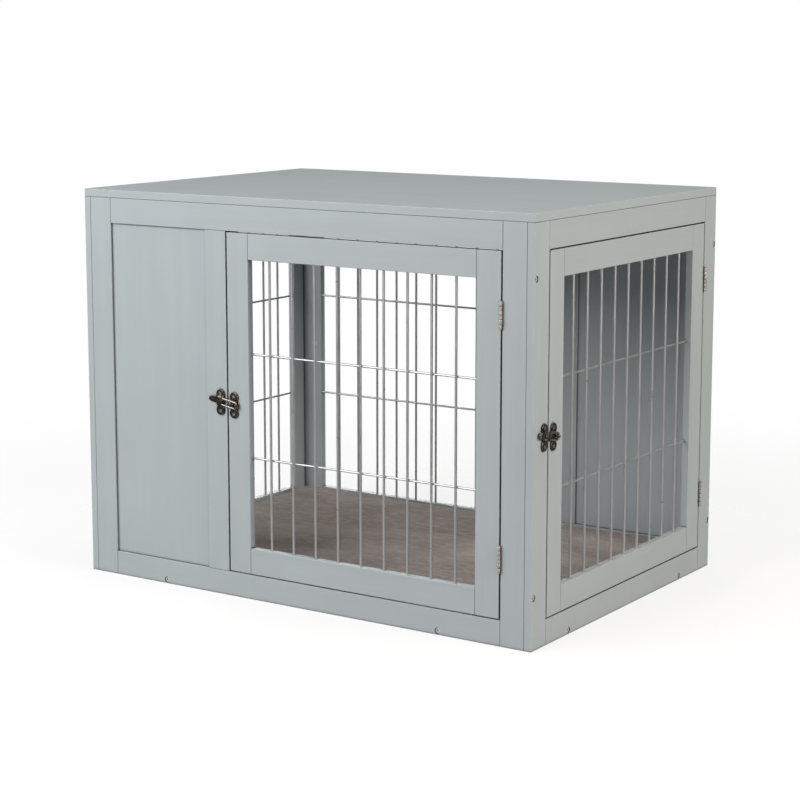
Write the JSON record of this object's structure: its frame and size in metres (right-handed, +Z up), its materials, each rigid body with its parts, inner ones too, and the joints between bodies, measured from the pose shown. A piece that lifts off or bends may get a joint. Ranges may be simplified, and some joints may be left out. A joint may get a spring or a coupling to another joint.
{
  "type": "dog crate",
  "caption": "Boarded side-table style dog crate with wire grilles, two framed wire doors on butt hinges with swing-loop latches, and a floor cushion.",
  "frame": {"origin": "centre of the footprint on the floor", "axes": "+Z up, -Y towards the front that has the wide door, +X towards the side that has the second door"},
  "size_m": [0.8314, 0.5874, 0.62],
  "materials": {
    "painted_wood": "satin paint, pale blue-grey",
    "grille_wire": "bright zinc",
    "hinge_metal": "nickel plated",
    "latch_metal": "antique nickel",
    "bolt_steel": "zinc plated",
    "bracket_steel": "zinc plated",
    "dowel_wood": "bare beech",
    "cushion_fabric": "taupe suede"
  },
  "bodies": {
    "carcass": {"back_bottom_rail": "painted_wood", "back_grille": "grille_wire", "back_left_stile": "painted_wood", "back_mid_stile": "painted_wood", "back_panel": "painted_wood", "back_right_stile": "painted_wood", "back_top_rail": "painted_wood", "barrel_nuts": "bolt_steel", "cushion": "cushion_fabric", "door_stops": "painted_wood", "floor_board": "painted_wood", "frame_bolts": "bolt_steel", "frame_dowels": "dowel_wood", "frame_screws": "latch_metal", "front_bottom_rail": "painted_wood", "front_hinge_frame_leaves": "hinge_metal", "front_hinge_pins": "hinge_metal", "front_latch_keeper": "latch_metal", "front_left_stile": "painted_wood", "front_mid_stile": "painted_wood", "front_panel": "painted_wood", "front_right_stile": "painted_wood", "front_top_rail": "painted_wood", "left_back_stile": "painted_wood", "left_bottom_rail": "painted_wood", "left_front_stile": "painted_wood", "left_grille": "grille_wire", "left_top_rail": "painted_wood", "right_back_stile": "painted_wood", "right_bottom_rail": "painted_wood", "right_front_stile": "painted_wood", "right_top_rail": "painted_wood", "side_hinge_frame_leaves": "hinge_metal", "side_hinge_pins": "hinge_metal", "side_latch_keeper": "latch_metal", "top_board": "painted_wood", "top_bracket_screws": "bracket_steel", "top_brackets": "bracket_steel"},
    "front_door": {"front_door_grille": "grille_wire", "front_door_latch_stile": "painted_wood", "front_door_hinge_stile": "painted_wood", "front_door_top_rail": "painted_wood", "front_door_bottom_rail": "painted_wood", "front_door_dowels": "dowel_wood", "front_hinge_door_leaves": "hinge_metal", "front_door_screws": "latch_metal", "front_latch_hook": "latch_metal"},
    "side_door": {"side_door_grille": "grille_wire", "side_door_latch_stile": "painted_wood", "side_door_hinge_stile": "painted_wood", "side_door_top_rail": "painted_wood", "side_door_bottom_rail": "painted_wood", "side_door_dowels": "dowel_wood", "side_hinge_door_leaves": "hinge_metal", "side_door_screws": "latch_metal", "side_latch_hook": "latch_metal"},
    "front_latch_arm": {"front_latch_loop": "latch_metal", "front_latch_lever": "latch_metal"},
    "side_latch_arm": {"side_latch_loop": "latch_metal", "side_latch_lever": "latch_metal"}
  },
  "joints": [
    {"name": "front_door_hinge", "type": "hinge", "parent": "carcass", "child": "front_door", "pos_m": [0.3588, -0.2918, 0.302], "axis": [0, 0, 1], "range_deg": [0, 175]},
    {"name": "side_door_hinge", "type": "hinge", "parent": "carcass", "child": "side_door", "pos_m": [0.4138, 0.2488, 0.302], "axis": [0, 0, 1], "range_deg": [0, 175]},
    {"name": "front_latch_swing", "type": "hinge", "parent": "front_door", "child": "front_latch_arm", "pos_m": [-0.1078, -0.2942, 0.301], "axis": [0.1736, 0, 0.9848], "range_deg": [0, 150]},
    {"name": "side_latch_swing", "type": "hinge", "parent": "side_door", "child": "side_latch_arm", "pos_m": [0.4162, -0.2268, 0.301], "axis": [0, 0.1736, 0.9848], "range_deg": [0, 150]}
  ]
}
